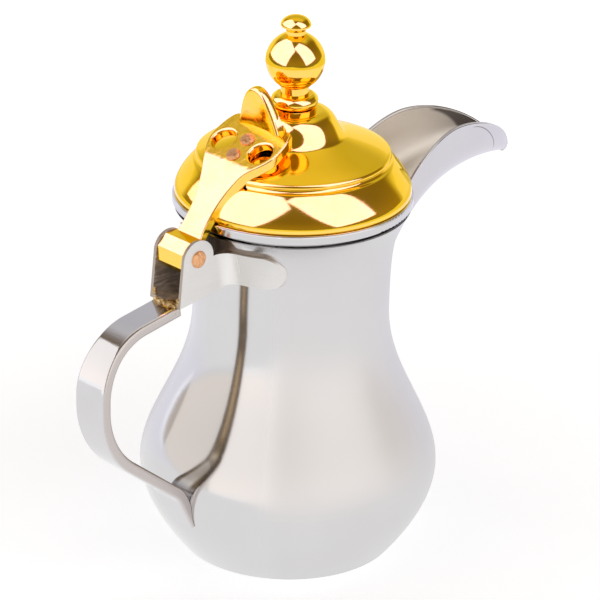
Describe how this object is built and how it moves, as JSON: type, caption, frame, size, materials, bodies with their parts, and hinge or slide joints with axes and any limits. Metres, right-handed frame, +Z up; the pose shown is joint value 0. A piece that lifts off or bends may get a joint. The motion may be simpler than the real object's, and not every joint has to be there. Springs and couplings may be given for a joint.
{
  "type": "dallah coffee pot",
  "caption": "Polished steel coffee pot with a round belly, open beak spout, strap handle and a hinged gold dome lid with a turned finial and a pierced thumb lever.",
  "frame": {"origin": "centre of the base, on the surface that the pot stands on", "axes": "+Z up along the body's axis, +X towards the beak spout, handle along -X"},
  "size_m": [0.2719, 0.1448, 0.2684],
  "materials": {
    "polished_steel": "bright polished stainless steel",
    "strap_steel": "polished sheet with satin edges and weld tint",
    "gold_plate": "bright gold plating",
    "copper": "hammered copper",
    "plain_steel": "plain zinc-grey steel"
  },
  "bodies": {
    "pot": {"body_shell": "polished_steel", "base_plate": "polished_steel", "spout": "polished_steel", "hinge_bracket": "strap_steel", "hinge_pin": "copper", "handle_strap": "strap_steel"},
    "lid": {"lid_pan": "polished_steel", "lid_dome": "gold_plate", "lid_lever": "gold_plate", "lever_rivets": "copper", "finial_collar": "gold_plate", "finial_ball": "gold_plate", "finial_cap": "gold_plate", "finial_stud": "plain_steel", "finial_washer": "plain_steel", "finial_nut": "plain_steel"}
  },
  "joints": [
    {"name": "lid_hinge", "type": "hinge", "parent": "pot", "child": "lid", "pos_m": [-0.0695, 0, 0.1678], "axis": [0, -1, 0], "range_deg": [0, 100]}
  ]
}
